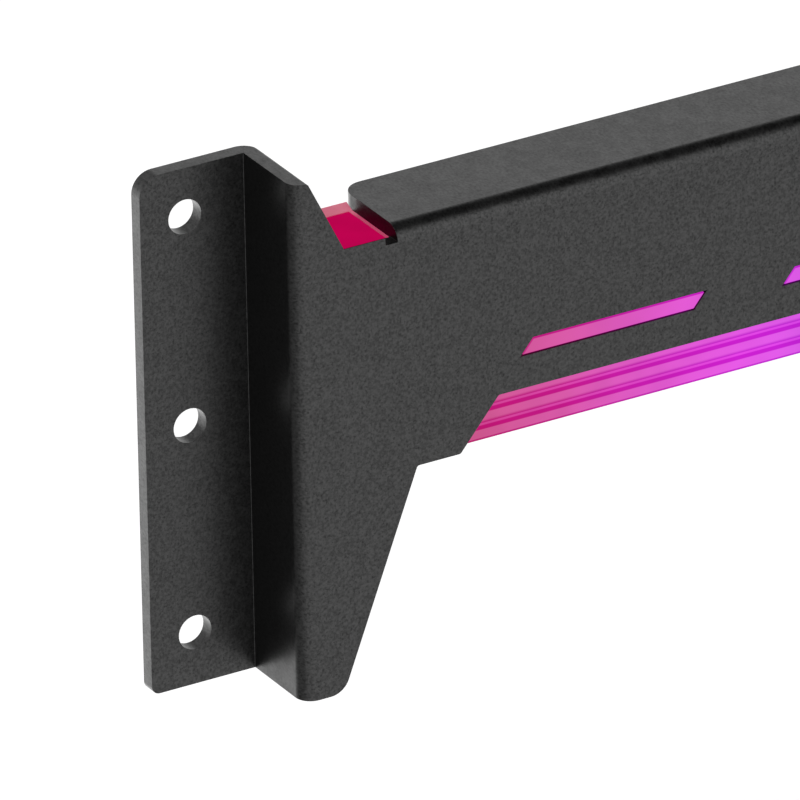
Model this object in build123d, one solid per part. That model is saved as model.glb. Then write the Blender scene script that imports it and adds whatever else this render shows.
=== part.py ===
"""Graphics card support bracket: one folded steel sheet with a light bar behind its arm.

Millimetres. X runs along the arm, Y away from the viewer towards the case, Z up.
The origin is the centre of the middle screw hole, on the face that lies against the case.
"""
from build123d import *
import os
from math import ceil, floor, radians, tan

# Folded sheet
sheet = 1.5
bend_radius = 0.05
corner_radius = 2.0
lower_corner_radius = 0.8
cut_radius = 0.3

# Flange with three case screws, one expansion slot apart
screw_pitch = 20.32
screw_hole = 3.3
flange_side_margin = 4.5
flange_top_margin = 4.7
flange_bottom_margin = 5.05
hole_to_web = 6.0

# Front plate: leg, step and arm, measured from the web's far face and down from the shelf
sheet_depth = 10.2
arm_reach = 212.0
arm_height = 18.8
leg_foot = 2.6
leg_top = 10.5
step_reach = 14.9
step_below_arm = 4.75
edge_slope = 50.0

# Card shelf, the notch beside it and the relief at the end of its fold
shelf_drop = 6.5
shelf_start = 8.95
notch_drop = 7.15
slant_foot = 3.5
relief_width = 1.25
relief_drop = 7.85

# Light slots through the arm
slot_height = 1.6
slot_length = 17.9
slot_pitch = 27.0
slot_start = 21.15
slot_above_edge = 3.15
slot_end_margin = 7.0

# Light bar: ribbed diffuser in front, cover behind
bar_left_gap = 0.8
bar_right_gap = 2.0
bar_below_step = 0.15
bar_corner_radius = 1.0
bar_edge_gap = 0.25
diffuser_wall = 1.2
rib_pitch = 1.62
rib_height = 0.74
rib_depth = 0.55
rib_bevel_height = 0.45
rib_bevel_depth = 0.2
lowest_rib = 1.2
window_gap = 0.12
head_lip = 0.1
head_to_shelf = 0.9
head_flare = 0.45
rim_width = 0.4
cover_thickness = 1.85
cover_seat = 0.5
cover_gap = 0.15

# Cover screws and the bosses they bite into
screw_columns = 3
screw_shank = 2.0
screw_head = 3.6
screw_head_height = 0.9
screw_length = 3.4
screw_gap = 0.1
screw_cross_length = 2.0
screw_cross_width = 0.5
screw_cross_depth = 0.45
boss_diameter = 3.8
boss_edge_gap = 2.9
boss_end_gap = 22.0

# Light board, held on two pins of the cover
board_width = 9.0
board_thickness = 1.0
board_end_gap = 1.0
board_pin = 1.5
board_pin_gap = 0.1
board_pin_inset = 2.0
board_pin_rise = 0.3
led_size = 3.5
led_height = 1.2
led_gap = 0.4
led_pitch = 13.5
led_end_margin = 7.0
led_cup = 2.8
led_cup_depth = 0.25
led_mark = 0.6
capacitor_length = 1.6
capacitor_width = 0.8
capacitor_height = 0.8
capacitor_gap = 1.0

# Socket for the lighting lead, in an opening of the cover
socket_length = 6.0
socket_width = 3.6
socket_wall = 0.5
socket_start = 6.0
socket_gap = 0.2
socket_pins = 3
pin_pitch = 1.5
pin_size = 0.4
pin_below_rim = 0.4

# Adhesive strip between the light bar and the front plate
tape_width = 7.0
tape_thickness = 0.25
tape_inset = 1.6

# Bends and positions along the arm
outer_bend = bend_radius + sheet
bar_edge = bend_radius + bar_edge_gap
web_x = hole_to_web + sheet
arm_end_x = web_x + arm_reach
shelf_x = web_x + shelf_start
notch_x = shelf_x - relief_width
slant_x = web_x + slant_foot
bar_left_x = web_x + bar_left_gap
bar_right_x = arm_end_x - bar_right_gap
head_x = shelf_x - head_to_shelf
rim_x = head_x - rim_width
inner_left_x = bar_left_x + diffuser_wall
inner_right_x = bar_right_x - diffuser_wall
board_left_x = inner_left_x + board_end_gap
board_right_x = inner_right_x - board_end_gap
socket_x = board_left_x + socket_start + socket_length / 2

# Heights
top_z = screw_pitch + flange_top_margin
bottom_z = -screw_pitch - flange_bottom_margin
shelf_z = top_z - shelf_drop
shelf_under_z = shelf_z - sheet
fold_z = shelf_z - outer_bend
notch_z = top_z - notch_drop
relief_z = top_z - relief_drop
head_z = notch_z + head_lip
arm_z = shelf_z - arm_height
step_z = arm_z - step_below_arm
bar_bottom_z = step_z - bar_below_step
inner_top_z = shelf_under_z - diffuser_wall
inner_bottom_z = bar_bottom_z + diffuser_wall
middle_z = (shelf_under_z + bar_bottom_z) / 2
tape_top_z = shelf_under_z - tape_inset

# Depths, from the front plate's face back
front_y = -sheet_depth
plate_back_y = front_y + sheet
groove_y = plate_back_y + rib_depth
inner_y = groove_y + diffuser_wall
led_y = inner_y + led_gap
board_y = led_y + led_height
seat_y = board_y + board_thickness
cover_y = seat_y + cover_seat
back_y = cover_y + cover_thickness
screw_head_y = back_y - screw_head_height
screw_tip_y = screw_head_y - screw_length

# Counts
slot_count = floor((arm_reach - slot_start - slot_length - slot_end_margin) / slot_pitch) + 1
groove_count = ceil((arm_z - bar_bottom_z - lowest_rib) / rib_pitch)
led_count = floor((board_right_x - board_left_x - 2 * led_end_margin) / led_pitch) + 1
first_led_x = (board_left_x + board_right_x - (led_count - 1) * led_pitch) / 2
capacitor_offset = (led_size + capacitor_width) / 2 + capacitor_gap


def facing(y):
    """The plane at depth y as the viewer sees it, with its normal towards the viewer."""
    return Plane(origin=(0, y, 0), x_dir=(1, 0, 0), z_dir=(0, -1, 0))


def polygon(*points):
    """A flat face through its corner points, in the front view (x, z) unless said otherwise."""
    return make_face(Polyline(*points, close=True))


def box_face(left, right, low, high):
    """A front-view rectangle."""
    return Pos((left + right) / 2, (low + high) / 2) * Rectangle(right - left, high - low)


def solid(face, near_y, far_y):
    """A solid with a front-view outline, between two depths."""
    return extrude(facing(far_y) * face, amount=far_y - near_y)


def rod(x, z, diameter, near_y, far_y):
    """A cylinder along the depth."""
    return solid(Pos(x, z) * Circle(diameter / 2), near_y, far_y)


def rounded(face, x, z, radius):
    """The face with its corner nearest to a point rounded."""
    return fillet(face.vertices().sort_by_distance((x, z))[0], radius)


def sheet_outline():
    """Front view of the cut sheet: flange and web at the left, leg, step and the arm up to its top fold."""
    chamfer_x = web_x + step_reach + step_below_arm / tan(radians(edge_slope))
    flange_x = -flange_side_margin
    foot_x = web_x + leg_foot
    leg_x = web_x + leg_top
    step_x = web_x + step_reach
    face = polygon(
        (flange_x, bottom_z),
        (foot_x, bottom_z),
        (leg_x, step_z),
        (step_x, step_z),
        (chamfer_x, arm_z),
        (arm_end_x, arm_z),
        (arm_end_x, fold_z),
        (shelf_x, fold_z),
        (shelf_x, relief_z),
        (notch_x, relief_z),
        (notch_x, notch_z),
        (slant_x, notch_z),
        (web_x, top_z),
        (flange_x, top_z),
    )
    for x, z in ((foot_x, bottom_z), (flange_x, top_z), (arm_end_x, arm_z)):
        face = rounded(face, x, z, corner_radius)
    face = rounded(face, flange_x, bottom_z, lower_corner_radius)
    for x, z in ((web_x, top_z), (leg_x, step_z), (step_x, step_z), (chamfer_x, arm_z)):
        face = rounded(face, x, z, cut_radius)
    return face


def slot_outline():
    """The first light slot, a parallelogram whose ends lean like the step's chamfer."""
    low = arm_z + slot_above_edge
    lean = slot_height / tan(radians(edge_slope))
    left = web_x + slot_start
    right = left + slot_length
    return polygon((left, low), (right, low), (right + lean, low + slot_height), (left + lean, low + slot_height))


def slot_row(face, near_y, far_y):
    """Solids of one outline at every slot."""
    return [Pos(X=number * slot_pitch) * solid(face, near_y, far_y) for number in range(slot_count)]


def folded_strip(plane, points, length):
    """A strip of the sheet bent along a centre line, as long as the fold runs."""
    line = FilletPolyline(*points, radius=bend_radius + sheet / 2)
    return extrude(plane * trace(line, sheet), amount=length, dir=plane.z_dir)


def make_bracket():
    """The sheet: two upright folds join flange, web and front plate, a third one carries the card shelf."""
    upright = folded_strip(
        Plane(origin=(0, 0, bottom_z)),
        [
            (-flange_side_margin, -sheet / 2),
            (web_x - sheet / 2, -sheet / 2),
            (web_x - sheet / 2, front_y + sheet / 2),
            (arm_end_x, front_y + sheet / 2),
        ],
        top_z - bottom_z,
    )
    upright &= solid(sheet_outline(), front_y, 0)
    shelf = folded_strip(
        Plane(origin=(shelf_x, 0, 0), x_dir=(0, 1, 0), z_dir=(1, 0, 0)),
        [
            (front_y + sheet / 2, fold_z - sheet),
            (front_y + sheet / 2, shelf_z - sheet / 2),
            (0, shelf_z - sheet / 2),
        ],
        arm_end_x - shelf_x,
    )
    shelf = fillet(shelf.edges().filter_by(Axis.Z).group_by(Axis.Y)[-1], corner_radius)
    bracket = upright + shelf
    for z in (-screw_pitch, 0, screw_pitch):
        bracket -= rod(0, z, screw_hole, -sheet, 0)
    for slot in slot_row(slot_outline(), front_y, plate_back_y):
        bracket -= slot
    return bracket


def bar_outline():
    """Front view of the light bar, with the raised head that fills the notch beside the shelf."""
    face = polygon(
        (bar_left_x, bar_bottom_z),
        (bar_right_x, bar_bottom_z),
        (bar_right_x, shelf_under_z),
        (rim_x, shelf_under_z),
        (rim_x, head_z),
        (bar_left_x, head_z),
    )
    for x, z in ((bar_left_x, bar_bottom_z), (bar_right_x, bar_bottom_z), (bar_right_x, shelf_under_z)):
        face = rounded(face, x, z, bar_corner_radius)
    return face


def screw_places():
    """Centres of the cover screws in the front view, in two rows."""
    first = bar_left_x + boss_end_gap
    step = (bar_right_x - boss_end_gap - first) / (screw_columns - 1)
    rows = (bar_bottom_z + boss_edge_gap, shelf_under_z - boss_edge_gap)
    return [(first + column * step, z) for z in rows for column in range(screw_columns)]


def make_diffuser():
    """The translucent tub of the light bar, open at the back, with ribs, windows and a lip over the notch."""
    tub = solid(bar_outline(), plate_back_y, cover_y)
    tub = chamfer(tub.faces().sort_by(Axis.Y)[0].edges(), bar_edge)
    hollow = solid(box_face(inner_left_x, inner_right_x, inner_bottom_z, inner_top_z), inner_y, cover_y)
    for x, z in screw_places():
        hollow -= rod(x, z, boss_diameter, inner_y, seat_y)
        hollow += rod(x, z, screw_shank, screw_tip_y - screw_gap, seat_y)
    tub -= hollow
    for number in range(groove_count):
        tub -= groove_solid(bar_bottom_z + lowest_rib + number * rib_pitch)
    tub -= tape_solid()
    for window in slot_row(offset(slot_outline(), -window_gap, kind=Kind.INTERSECTION), front_y, plate_back_y):
        tub += window
    lean = head_lip * slant_foot / notch_drop
    lip = polygon((slant_x, notch_z), (rim_x, notch_z), (rim_x, head_z), (slant_x - lean, head_z))
    return tub + solid(lip, front_y, plate_back_y + bar_edge)


def groove_solid(low):
    """The groove above a rib: flat below, bevelled where the next rib's lower edge begins."""
    high = low + rib_pitch - rib_height
    profile = polygon(
        (plate_back_y, low),
        (groove_y, low),
        (groove_y, high - rib_bevel_height),
        (plate_back_y + rib_bevel_depth, high - rib_bevel_height),
        (plate_back_y, high),
    )
    return extrude(Plane.YZ.offset(bar_left_x) * profile, amount=bar_right_x - bar_left_x)


def tape_solid():
    """The adhesive strip, let into the front of the diffuser."""
    face = box_face(bar_left_x + tape_inset, bar_right_x - tape_inset, tape_top_z - tape_width, tape_top_z)
    return solid(face, plate_back_y, plate_back_y + tape_thickness)


def make_cover():
    """The rear cover: a plate with a pad inside the tub, sunk screw seats and the opening for the socket."""
    pad = box_face(
        inner_left_x + cover_gap,
        inner_right_x - cover_gap,
        inner_bottom_z + cover_gap,
        inner_top_z - cover_gap,
    )
    cover = solid(bar_outline(), cover_y, back_y) + solid(pad, seat_y, cover_y)
    for x, z in screw_places():
        cover -= rod(x, z, screw_shank + 2 * screw_gap, seat_y, back_y)
        cover -= rod(x, z, screw_head + 2 * screw_gap, screw_head_y, back_y)
    for x in board_pin_places():
        cover += rod(x, middle_z, board_pin, board_y - board_pin_rise, seat_y)
    opening = Rectangle(socket_length + 2 * socket_gap, socket_width + 2 * socket_gap)
    cover -= solid(Pos(socket_x, middle_z) * opening, seat_y, back_y)
    return cover + make_rim()


def make_rim():
    """The cover's rim, which runs forward beside the diffuser's head and laps over the notch's edge."""
    plan = polygon(
        (rim_x, plate_back_y),
        (head_x, plate_back_y),
        (head_x, cover_y),
        (head_x + head_flare, back_y),
        (rim_x, back_y),
    )
    rim = extrude(Plane.XY.offset(shelf_under_z) * plan, amount=head_z - shelf_under_z)
    return rim + solid(box_face(rim_x, head_x, notch_z, head_z), front_y, plate_back_y)


def board_pin_places():
    """Where the cover's pins hold the board, along the arm."""
    return (board_left_x + board_pin_inset, board_right_x - board_pin_inset)


def make_board():
    """The light board, with a hole for each pin of the cover."""
    half = board_width / 2
    board = solid(box_face(board_left_x, board_right_x, middle_z - half, middle_z + half), board_y, seat_y)
    for x in board_pin_places():
        board -= rod(x, middle_z, board_pin + 2 * board_pin_gap, board_y, seat_y)
    return board


def make_led(x):
    """One light source: a square body with a round cup and a cut corner that marks its pole."""
    face = Rectangle(led_size, led_size)
    face = chamfer(face.vertices().sort_by_distance((-led_size, led_size))[0], led_mark)
    body = solid(Pos(x, middle_z) * face, led_y, board_y)
    return body - rod(x, middle_z, led_cup, led_y, led_y + led_cup_depth)


def make_capacitor(x):
    """The small capacitor beside a light source."""
    face = Rectangle(capacitor_width, capacitor_length)
    return solid(Pos(x + capacitor_offset, middle_z) * face, board_y - capacitor_height, board_y)


def make_screw(x, z):
    """A cover screw with a flat head and a cross recess."""
    screw = rod(x, z, screw_shank, screw_tip_y, screw_head_y) + rod(x, z, screw_head, screw_head_y, back_y)
    for turn in (0, 90):
        arm = Pos(x, z) * Rot(Z=turn) * Rectangle(screw_cross_length, screw_cross_width)
        screw -= solid(arm, back_y - screw_cross_depth, back_y)
    return screw


def pin_places():
    """Where the socket's contact pins stand, along the arm."""
    return [socket_x + (number - (socket_pins - 1) / 2) * pin_pitch for number in range(socket_pins)]


def pin_solid(x, far_y):
    """A square contact pin on the board."""
    return solid(Pos(x, middle_z) * Rectangle(pin_size, pin_size), seat_y, far_y)


def make_socket():
    """The socket's shell on the board, open to the back."""
    shell = solid(Pos(socket_x, middle_z) * Rectangle(socket_length, socket_width), seat_y, back_y)
    mouth = Rectangle(socket_length - 2 * socket_wall, socket_width - 2 * socket_wall)
    shell -= solid(Pos(socket_x, middle_z) * mouth, seat_y + socket_wall, back_y)
    for x in pin_places():
        shell -= pin_solid(x, seat_y + socket_wall)
    return shell


nodes = {
    "bracket": make_bracket(),
    "diffuser": make_diffuser(),
    "rear_cover": make_cover(),
    "led_board": make_board(),
    "mounting_tape": tape_solid(),
    "cover_screws": Compound(children=[make_screw(x, z) for x, z in screw_places()]),
    "socket_shell": make_socket(),
}
for number, x in enumerate(pin_places(), start=1):
    nodes[f"socket_pin_{number}"] = pin_solid(x, back_y - pin_below_rim)
for number in range(led_count):
    x = first_led_x + number * led_pitch
    nodes[f"led_{number + 1}"] = make_led(x)
    nodes[f"capacitor_{number + 1}"] = make_capacitor(x)

os.makedirs("parts", exist_ok=True)
for name, shape in nodes.items():
    export_step(shape, f"parts/{name}.step")
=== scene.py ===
"""Looks of the graphics card support bracket: powder-coated steel with a lit bar behind its arm."""
from math import cos, radians, sin

import bmesh
import bpy
from mathutils import Matrix, Vector


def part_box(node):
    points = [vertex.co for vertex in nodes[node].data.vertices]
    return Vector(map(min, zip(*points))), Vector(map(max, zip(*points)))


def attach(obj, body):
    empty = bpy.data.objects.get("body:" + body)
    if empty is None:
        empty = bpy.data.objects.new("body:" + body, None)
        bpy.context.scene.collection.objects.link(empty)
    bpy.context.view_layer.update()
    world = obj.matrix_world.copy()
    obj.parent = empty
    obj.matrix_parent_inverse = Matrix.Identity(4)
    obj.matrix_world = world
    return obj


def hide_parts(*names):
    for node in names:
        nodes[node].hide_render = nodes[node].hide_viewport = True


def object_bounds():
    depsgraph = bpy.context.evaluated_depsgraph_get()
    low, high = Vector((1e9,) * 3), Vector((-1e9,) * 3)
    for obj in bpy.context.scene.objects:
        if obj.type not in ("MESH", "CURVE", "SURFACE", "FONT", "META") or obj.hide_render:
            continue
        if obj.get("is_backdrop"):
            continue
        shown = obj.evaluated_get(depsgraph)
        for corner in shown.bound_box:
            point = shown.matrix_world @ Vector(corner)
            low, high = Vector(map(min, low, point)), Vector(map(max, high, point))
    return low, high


MM = 0.001

# Camera, found from the sheet's edges and screw holes in the photograph.
# All azimuths are seen from the object: 0 is its front, -90 its left and 180 its back.
IMAGE_SIDE = 800
FOCAL_PIXELS = 19050.9
SENSOR = 36.0
AZIMUTH = -29.733
ELEVATION = 25.881
ROLL = -1.124
DISTANCE = 1661.15 * MM
AIM = Vector((10.06, -21.18, 7.98)) * MM
NEAR = 0.1
FAR = 50.0

# Studio floor and fill
FLOOR_DROP = 60 * MM
FLOOR_SIDE = 8.0
FLOOR_WHITE = 0.8
FLOOR_LIFT = 0.42
SKY_FILL = 0.62

# What the coat mirrors: pale below and at the horizon, dull on the left, bright low at the back.
# The ceiling is dark, leans a little to the back, and ends towards the left.
BELOW = 1.0
HORIZON = 1.24
HORIZON_START = -0.48
CEILING_START = 0.46
CEILING_FULL = 0.78
CEILING_LEAN = 0.1
CEILING_LEFT = -0.08
CEILING_RIGHT = 0.16
DULL_AZIMUTH = -114
DULL_START = -0.14
DULL_LEVEL = 0.55
BRIGHT_AZIMUTH = -165
BRIGHT_START = 0.83
BRIGHT_LIFT = 1.85
BRIGHT_TOP = 0.1

# Soft lamps: name, azimuth, elevation, distance, side and power
LAMPS = (
    ("key_lamp", -50, 50, 0.8, 0.5, 2.2),
    ("fill_lamp", 40, 35, 1.0, 0.8, 1.2),
)

# Powder coat: how much it mirrors, its grain, and the painted shade that dulls its sheen inside the channel
COAT_SHEEN = 0.06
SHEEN_LOW = 0.72
SHEEN_HIGH = 1.3
COAT_GRAIN = 0.25 * MM
GRAIN_STRETCH = 0.6
PIT_SHEEN = 0.7
COAT_SMOOTH = 0.34
COAT_ROUGH = 0.40
CHANNEL_SHADE = 0.6
CHANNEL_SHADE_FADE = 0.2 * MM

# Diffuser: its grooves' depth, and the painted shade that darkens its grooves and its faces that look down
GROOVE_DEPTH = 0.4 * MM
GROOVE_SHADE = (1.0, 0.6, 1.0, 1)
UNDERSIDE_SHADE = (0.95, 1.5, 1.0, 1)

# Rear cover: its glow dimmed by a painted shadow of the board over it, brighter by a gain past it, and
# dimmed by painted shade on the walls at its end
BOARD_SHADE = 3.5 * MM
BOARD_CLEAR = 8.0 * MM
COVER_DIM = 0.2
COVER_GAIN = 0.5
WALL_SHADE = 0.6

# Meshes: widths of the rounded edges, which edges are rounded, and how far shading blends
SHEET_EDGE = 0.03 * MM
DIFFUSER_EDGE = 0.1 * MM
SMALL_EDGE = 0.06 * MM
EDGE_ANGLE = 45
SHORTEST_EDGE = 0.03 * MM
FLAT_ANGLE = 0.5
BLEND_ANGLE = 60
WELD = 0.005 * MM

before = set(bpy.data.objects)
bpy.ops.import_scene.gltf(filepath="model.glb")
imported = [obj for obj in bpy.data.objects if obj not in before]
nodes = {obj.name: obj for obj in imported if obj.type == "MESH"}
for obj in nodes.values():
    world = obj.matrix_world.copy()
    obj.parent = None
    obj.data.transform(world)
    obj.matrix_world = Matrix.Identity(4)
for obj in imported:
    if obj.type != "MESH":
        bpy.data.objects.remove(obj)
low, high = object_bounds()


class Shader:
    """A material's node tree, with short calls to add and join nodes."""

    def __init__(self, tree):
        self.tree = tree
        tree.nodes.clear()

    def add(self, kind, settings=None, **inputs):
        """A new node with its settings and its inputs, whose names have _ for a space."""
        node = self.tree.nodes.new("ShaderNode" + kind)
        for name, value in (settings or {}).items():
            setattr(node, name, value)
        for name, value in inputs.items():
            self.feed(node, name.replace("_", " "), value)
        return node

    def feed(self, node, name, value):
        """Sets an input to a value, or joins it to a socket or node. Input i0 is the first one."""
        numbered = name[0] == "i" and name[1:].isdigit()
        socket = node.inputs[int(name[1:]) if numbered else name]
        if isinstance(value, bpy.types.NodeSocket):
            self.tree.links.new(value, socket)
        elif isinstance(value, bpy.types.Node):
            self.tree.links.new(value.outputs[0], socket)
        else:
            socket.default_value = value

    def maths(self, operation, first, second=0.0, clamp=False):
        """The result of a sum on one or two values."""
        node = self.add("Math", {"operation": operation, "use_clamp": clamp})
        self.feed(node, "i0", first)
        self.feed(node, "i1", second)
        return node.outputs[0]

    def between(self, value, low_in, high_in, low_out=0.0, high_out=1.0):
        """A value carried smoothly from one range to another, and held at its ends."""
        node = self.add("MapRange", {"interpolation_type": "SMOOTHSTEP"}, Value=value)
        node.inputs["From Min"].default_value = low_in
        node.inputs["From Max"].default_value = high_in
        node.inputs["To Min"].default_value = low_out
        node.inputs["To Max"].default_value = high_out
        return node.outputs["Result"]

    def mix(self, factor, first, second, blend="MIX"):
        """Two colours or values mixed, or blended in another way."""
        node = self.add("Mix", {"data_type": "RGBA", "blend_type": blend})
        self.feed(node, "Factor", factor)
        self.feed(node, "i6", first)
        self.feed(node, "i7", second)
        return node.outputs[2]

    def noise(self, size, detail=2.0, roughness=0.5, depth_scale=1.0):
        """Noise in the row's frame, whose features are about as large as size, longer in depth if asked."""
        place = self.add("TexCoord").outputs["Object"]
        if depth_scale != 1.0:
            place = self.add("Mapping", Vector=place, Scale=(1.0, depth_scale, 1.0))
        node = self.add("TexNoise", Vector=place, Scale=1 / size, Detail=detail, Roughness=roughness)
        return node.outputs["Fac"]

    def ramp(self, value, stops):
        """Colours along a value, each stop a (position, colour) pair."""
        node = self.add("ValToRGB", Fac=value)
        elements = node.color_ramp.elements
        while len(elements) < len(stops):
            elements.new(1.0)
        for element, (place, colour) in zip(elements, stops):
            element.position = place
            element.color = (*colour, 1.0)
        return node.outputs["Color"]


def direction(azimuth, elevation=0.0):
    """The unit vector from the object towards an azimuth and elevation in degrees."""
    a, e = radians(azimuth), radians(elevation)
    return Vector((sin(a) * cos(e), -cos(a) * cos(e), sin(e)))


def linear_part(value):
    """One part of a colour as a screen shows it, 0 to 255, in linear light."""
    share = value / 255
    return share / 12.92 if share <= 0.04045 else ((share + 0.055) / 1.055) ** 2.4


def linear(red, green, blue):
    """A colour as a screen shows it in linear light."""
    return tuple(linear_part(value) for value in (red, green, blue))


def grey(level):
    """A neutral colour of a given level."""
    return level, level, level, 1


def material(name):
    """A new material and its emptied node tree with an output."""
    made = bpy.data.materials.new(name)
    made.use_nodes = True
    shader = Shader(made.node_tree)
    return made, shader, shader.add("OutputMaterial")


def dress(name, made):
    """Gives a node of the frame its material."""
    mesh = nodes[name].data
    mesh.materials.clear()
    mesh.materials.append(made)


def powder_coat():
    """Black powder coat: satin, finely grained, softly peeled, with painted shade dulling its sheen inside
    the channel.
    """
    made, s, out = material("powder_coat")
    grain = s.noise(COAT_GRAIN, detail=2.0, roughness=0.6, depth_scale=GRAIN_STRETCH)
    peel = s.noise(COAT_GRAIN * 4, detail=1.0, depth_scale=GRAIN_STRETCH)
    sheen = s.mix(s.between(grain, 0.25, 0.75), grey(COAT_SHEEN * SHEEN_LOW), grey(COAT_SHEEN * SHEEN_HIGH))
    pits = s.noise(COAT_GRAIN * 0.9, detail=0.0, depth_scale=GRAIN_STRETCH)
    pitted = s.mix(1.0, sheen, grey(PIT_SHEEN), "MULTIPLY")
    sheen = s.mix(s.between(pits, 0.26, 0.38), pitted, sheen)
    # Painted shade: the sheen is dulled on faces looking left inside the channel behind the flange, where
    # shade falls
    side = s.add("SeparateXYZ", Vector=s.add("NewGeometry").outputs["Normal"]).outputs["X"]
    depth = s.add("SeparateXYZ", Vector=s.add("TexCoord").outputs["Object"]).outputs["Y"]
    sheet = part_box("mounting_tape")[0].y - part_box("bracket")[0].y
    inside = s.between(depth, -sheet, -sheet - CHANNEL_SHADE_FADE)
    channel = s.maths("MULTIPLY", s.between(side, -0.6, -1.0), inside)
    sheen = s.mix(channel, sheen, s.mix(1.0, sheen, grey(CHANNEL_SHADE), "MULTIPLY"))
    height = s.maths("ADD", grain, s.maths("MULTIPLY", peel, 0.6))
    bump = s.add("Bump", Strength=0.12, Distance=0.03 * MM, Height=height)
    coat = s.add("BsdfPrincipled", Base_Color=sheen, Metallic=1.0, Normal=bump.outputs[0])
    s.feed(coat, "Roughness", s.between(peel, 0.3, 0.7, COAT_SMOOTH, COAT_ROUGH))
    s.feed(out, "Surface", coat)
    return made


# The light along the arm, from crimson by pink and violet to blue: where each colour is reached,
# then its paler shade on the diffuser's front and its deeper one, a painted shade, on faces that look up
GLOW = (
    (15.7 * MM, (196, 2, 78), (187, 1, 77)),
    (20 * MM, (200, 86, 125), (187, 18, 95)),
    (34 * MM, (215, 90, 168), (193, 25, 136)),
    (52 * MM, (230, 90, 230), (204, 32, 208)),
    (100 * MM, (140, 95, 248), (104, 40, 226)),
    (219 * MM, (92, 128, 250), (50, 66, 226)),
)
FRONT = 1
TOP = 2


def glow_ramp(s, shade):
    """The light's colour along the arm, in its shade for the front or for faces that look up."""
    first, last = GLOW[0][0], GLOW[-1][0]
    place = s.add("SeparateXYZ", Vector=s.add("TexCoord").outputs["Object"]).outputs["X"]
    along = s.maths("DIVIDE", s.maths("SUBTRACT", place, first), last - first, clamp=True)
    return s.ramp(along, [((stop[0] - first) / (last - first), linear(*stop[shade])) for stop in GLOW])


def lit_acrylic():
    """The diffuser: satin acrylic lit from inside, with painted shade deepening its colour in its grooves
    and where its faces look up or down.
    """
    made, s, out = material("lit_acrylic")
    facing = s.add("SeparateXYZ", Vector=s.add("NewGeometry").outputs["Normal"]).outputs["Z"]
    depth = s.add("SeparateXYZ", Vector=s.add("TexCoord").outputs["Object"]).outputs["Y"]
    face_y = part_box("mounting_tape")[0].y
    front = glow_ramp(s, FRONT)
    top = glow_ramp(s, TOP)
    # Painted shade: recessed faces in the grooves, faces that look up and faces that look down get darker,
    # deeper copies of the front glow
    groove_shade = s.mix(1.0, front, GROOVE_SHADE, "MULTIPLY")
    underside_shade = s.mix(1.0, top, UNDERSIDE_SHADE, "MULTIPLY")
    glow = s.mix(s.between(depth, face_y, face_y + GROOVE_DEPTH), front, groove_shade)
    glow = s.mix(s.between(facing, 0.1, 0.8), glow, top)
    glow = s.mix(s.between(facing, -0.1, -0.5), glow, underside_shade)
    cloud = s.noise(3.0 * MM, detail=1.0)
    bump = s.add("Bump", Strength=0.15, Distance=0.01 * MM, Height=s.noise(0.12 * MM))
    deep = (0.006, 0.0005, 0.002, 1)
    body = s.add("BsdfPrincipled", Base_Color=deep, Roughness=0.5, Normal=bump.outputs[0])
    body.inputs["Specular IOR Level"].default_value = 0.0005
    s.feed(body, "Emission Color", glow)
    s.feed(body, "Emission Strength", s.between(cloud, 0.3, 0.7, 0.96, 1.03))
    s.feed(out, "Surface", body)
    return made


def lit_cover():
    """The rear cover: paler plastic with the light behind it, its glow dimmed by a painted shadow over the
    board and by painted shade on its end.
    """
    made, s, out = material("lit_cover")
    place = s.add("SeparateXYZ", Vector=s.add("TexCoord").outputs["Object"])
    normal = s.add("SeparateXYZ", Vector=s.add("NewGeometry").outputs["Normal"])
    board_low, board_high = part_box("led_board")
    middle = (board_low.z + board_high.z) / 2
    plate = s.between(place.outputs["Y"], board_low.y, board_high.y)
    # Painted shadow: the glow is dimmed where the board stands behind the cover
    away = s.maths("ABSOLUTE", s.maths("SUBTRACT", place.outputs["Z"], middle))
    open_part = s.between(away, BOARD_SHADE, BOARD_CLEAR)
    cloud = s.noise(2.0 * MM)
    bump = s.add("Bump", Strength=0.2, Distance=0.01 * MM, Height=s.noise(0.15 * MM))
    body = s.add("BsdfPrincipled", Roughness=0.5, Normal=bump.outputs[0])
    pale = s.mix(s.between(cloud, 0.3, 0.7), (0.20, 0.11, 0.13, 1), (0.24, 0.14, 0.16, 1))
    s.feed(body, "Base Color", s.mix(plate, (0.06, 0.02, 0.035, 1), pale))
    s.feed(body, "Emission Color", glow_ramp(s, TOP))
    strength = s.maths("ADD", s.maths("MULTIPLY", open_part, COVER_GAIN), COVER_DIM)
    # Painted shade: the glow is weaker on the end walls that face right
    wall_shade = s.between(normal.outputs["X"], 0.3, 0.8, 1.0, WALL_SHADE)
    s.feed(body, "Emission Strength", s.maths("MULTIPLY", strength, wall_shade))
    s.feed(out, "Surface", body)
    return made


def plain(name, colour, roughness, grain=0.15, metallic=0.0, variation=0.12):
    """A moulded, ceramic or metal finish with slight colour variation and a fine grain."""
    made, s, out = material(name)
    darker = tuple(v * (1 - variation) for v in colour)
    cloud = s.noise(grain * 6 * MM)
    shade = s.mix(s.between(cloud, 0.3, 0.7), (*darker, 1), (*colour, 1))
    bump = s.add("Bump", Strength=0.2, Distance=0.01 * MM, Height=s.noise(grain * MM))
    body = s.add("BsdfPrincipled", Base_Color=shade, Metallic=metallic, Normal=bump.outputs[0])
    s.feed(body, "Roughness", s.between(cloud, 0.3, 0.7, roughness * 0.9, roughness * 1.1))
    s.feed(out, "Surface", body)
    return made


def is_sharp(edge, width):
    """Whether an edge is a cut one, long enough and between faces broad enough to be rounded."""
    length = edge.calc_length()
    if not edge.is_manifold or length < SHORTEST_EDGE or edge.calc_face_angle() < radians(EDGE_ANGLE):
        return False
    return min(face.calc_area() for face in edge.link_faces) > width * length


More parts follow.
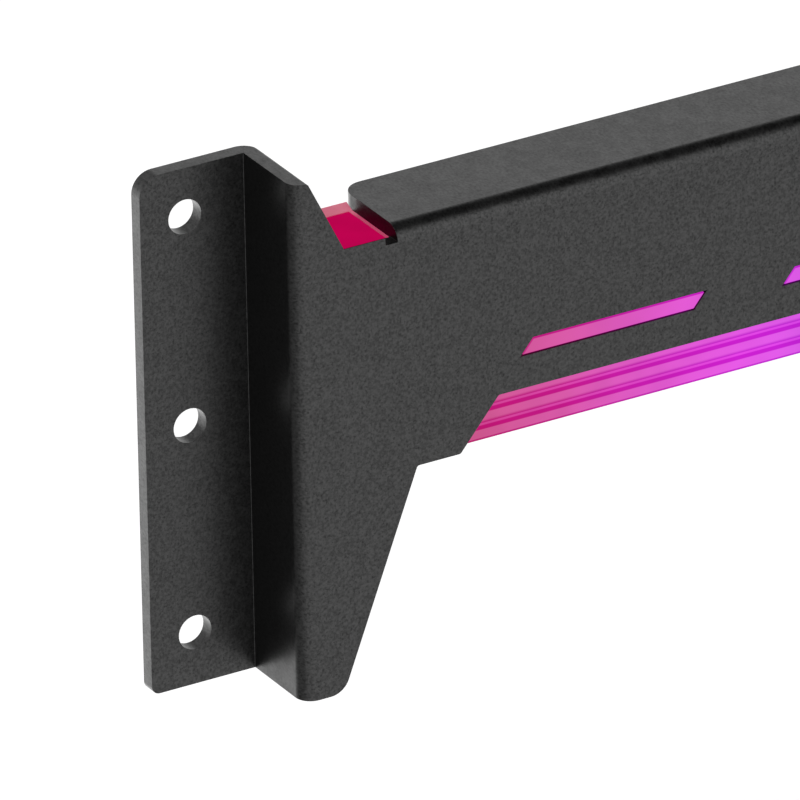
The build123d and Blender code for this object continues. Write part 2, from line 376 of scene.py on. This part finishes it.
def blend_normals(data):
    """Shading that follows the broad faces: flat up to the rounded edges, crisp where none is rounded."""
    around = [[] for _ in data.vertices]
    for face in data.polygons:
        for vertex in face.vertices:
            around[vertex].append(face)
    least = cos(radians(BLEND_ANGLE))
    normals = []
    for face in data.polygons:
        for vertex in face.vertices:
            alike = [other for other in around[vertex] if other.normal.dot(face.normal) > least]
            total = sum((other.normal * other.area for other in alike), Vector())
            normals.append(total.normalized())
    data.normals_split_custom_set(normals)


def refine(name, finish, edge_width):
    """A piece in place of a CAD node: flat faces whole, cut edges rounded, bends shaded smoothly."""
    mesh = bmesh.new()
    mesh.from_mesh(nodes[name].data)
    bmesh.ops.remove_doubles(mesh, verts=mesh.verts, dist=WELD)
    bmesh.ops.dissolve_limit(mesh, angle_limit=radians(FLAT_ANGLE), verts=mesh.verts, edges=mesh.edges)
    sharp = [edge for edge in mesh.edges if is_sharp(edge, edge_width)]
    bmesh.ops.bevel(mesh, geom=sharp, offset=edge_width, segments=2, profile=0.5, affect="EDGES")
    for face in mesh.faces:
        face.smooth = True
    data = bpy.data.meshes.new(f"{name}_finished")
    mesh.to_mesh(data)
    mesh.free()
    blend_normals(data)
    data.materials.append(finish)
    piece = bpy.data.objects.new(f"{name}_finished", data)
    bpy.context.scene.collection.objects.link(piece)
    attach(piece, "root")
    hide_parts(name)


def dress_all():
    """Every node's finish: new pieces for what shows, materials for what the light bar hides."""
    black_oxide = plain("black_oxide", (0.05, 0.05, 0.055), 0.35, metallic=1.0)
    nylon = plain("nylon", (0.75, 0.72, 0.64), 0.45)
    refine("bracket", powder_coat(), SHEET_EDGE)
    refine("diffuser", lit_acrylic(), DIFFUSER_EDGE)
    refine("rear_cover", lit_cover(), SMALL_EDGE)
    refine("cover_screws", black_oxide, SMALL_EDGE)
    refine("socket_shell", nylon, SMALL_EDGE)
    finishes = {
        "led_board": plain("solder_mask", (0.75, 0.76, 0.74), 0.35),
        "mounting_tape": plain("tape", (0.7, 0.7, 0.68), 0.7),
        "socket_pin": plain("plated_pin", (0.85, 0.68, 0.35), 0.25, metallic=1.0),
        "led": plain("led_body", (0.85, 0.85, 0.82), 0.4),
        "capacitor": plain("ceramic", (0.42, 0.28, 0.17), 0.5),
    }
    for name in nodes:
        kind = name if name in finishes else name.rstrip("0123456789").rstrip("_")
        if kind in finishes:
            dress(name, finishes[kind])


def make_floor():
    """A pale floor below the object that keeps its shadow. In the coat the world stands in for it."""
    made, s, out = material("floor")
    rays = s.add("LightPath").outputs
    seen = s.maths("MAXIMUM", rays["Is Camera Ray"], rays["Is Transmission Ray"])
    matte = s.add("BsdfDiffuse", Color=grey(FLOOR_WHITE))
    lift = s.add("Emission", Color=grey(1), Strength=s.maths("MULTIPLY", seen, FLOOR_LIFT))
    both = s.add("AddShader")
    s.feed(both, "i0", matte)
    s.feed(both, "i1", lift)
    one_sided = s.add("MixShader", Fac=s.add("NewGeometry").outputs["Backfacing"])
    s.feed(one_sided, "i1", both)
    s.feed(one_sided, "i2", s.add("BsdfTransparent"))
    s.feed(out, "Surface", one_sided)
    half = FLOOR_SIDE / 2
    level = low.z - FLOOR_DROP
    corners = [(x * half, y * half, level) for x, y in ((-1, -1), (1, -1), (1, 1), (-1, 1))]
    mesh = bpy.data.meshes.new("floor")
    mesh.from_pydata(corners, [], [(0, 1, 2, 3)])
    mesh.materials.append(made)
    floor = bpy.data.objects.new("floor", mesh)
    floor.visible_glossy = False
    bpy.context.scene.collection.objects.link(floor)
    floor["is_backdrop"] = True


def towards(s, part, azimuth):
    """How far the way a ray goes points to an azimuth: 1 along it, -1 away from it."""
    aim = direction(azimuth)
    x, y = part.outputs["X"], part.outputs["Y"]
    along = s.maths("ADD", s.maths("MULTIPLY", x, aim.x), s.maths("MULTIPLY", y, aim.y))
    level = s.maths("SQRT", s.maths("ADD", s.maths("MULTIPLY", x, x), s.maths("MULTIPLY", y, y)))
    return s.maths("DIVIDE", along, s.maths("MAXIMUM", level, 0.001))


def make_world():
    """White in the picture, an even fill for matte light, and the studio that the coat mirrors."""
    world = bpy.data.worlds.new("studio")
    world.use_nodes = True
    s = Shader(world.node_tree)
    out = s.add("OutputWorld")
    rays = s.add("LightPath").outputs
    part = s.add("SeparateXYZ", Vector=s.add("TexCoord").outputs["Generated"])
    height = part.outputs["Z"]
    gloss = s.between(towards(s, part, DULL_AZIMUTH), DULL_START, 1.0, 1.0, DULL_LEVEL)
    bright = s.between(towards(s, part, BRIGHT_AZIMUTH), BRIGHT_START, 1.0, 0.0, BRIGHT_LIFT)
    bright = s.maths("MULTIPLY", bright, s.between(height, BRIGHT_TOP, -BRIGHT_TOP))
    gloss = s.maths("ADD", gloss, bright)
    gloss = s.maths("MULTIPLY", gloss, s.between(height, HORIZON_START, 0.0, BELOW, HORIZON))
    overhead = s.maths("ADD", height, s.maths("MULTIPLY", part.outputs["Y"], CEILING_LEAN))
    ceiling = s.between(overhead, CEILING_START, CEILING_FULL, 0.0, 1.0)
    sideways = s.between(part.outputs["X"], CEILING_LEFT, CEILING_RIGHT, 0.0, 1.0)
    ceiling = s.maths("MULTIPLY", ceiling, sideways)
    gloss = s.maths("MULTIPLY", gloss, s.between(ceiling, 0.0, 1.0, 1.0, 0.0))
    glossy = s.maths("MAXIMUM", rays["Is Glossy Ray"], rays["Is Transmission Ray"])
    strength = s.mix(glossy, grey(SKY_FILL), gloss)
    strength = s.mix(rays["Is Camera Ray"], strength, grey(1))
    s.feed(out, "Surface", s.add("Background", Color=strength, Strength=1.0))
    bpy.context.scene.world = world


def make_lamp(name, azimuth, elevation, distance, side, watts):
    """A square soft lamp aimed at the object, that isn't mirrored in the coat."""
    data = bpy.data.lights.new(name, "AREA")
    data.shape = "SQUARE"
    data.size = side
    data.energy = watts
    lamp = bpy.data.objects.new(name, data)
    back = direction(azimuth, elevation)
    lamp.location = AIM + back * distance
    lamp.rotation_euler = (-back).to_track_quat("-Z", "Y").to_euler()
    lamp.visible_glossy = False
    bpy.context.scene.collection.objects.link(lamp)


def make_camera():
    """The photograph's view: a long lens from the front left, a little above, leaning slightly."""
    data = bpy.data.cameras.new("camera")
    data.sensor_width = SENSOR
    data.lens = FOCAL_PIXELS / IMAGE_SIDE * SENSOR
    data.clip_start = NEAR
    data.clip_end = FAR
    camera = bpy.data.objects.new("camera", data)
    back = direction(AZIMUTH, ELEVATION)
    turn = (-back).to_track_quat("-Z", "Y").to_matrix() @ Matrix.Rotation(radians(ROLL), 3, "Z")
    camera.matrix_world = Matrix.Translation(AIM + back * DISTANCE) @ turn.to_4x4()
    bpy.context.scene.collection.objects.link(camera)
    bpy.context.scene.camera = camera


dress_all()
make_floor()
make_world()
for lamp in LAMPS:
    make_lamp(*lamp)
make_camera()
bpy.context.scene.view_settings.view_transform = "Standard"

low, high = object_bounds()
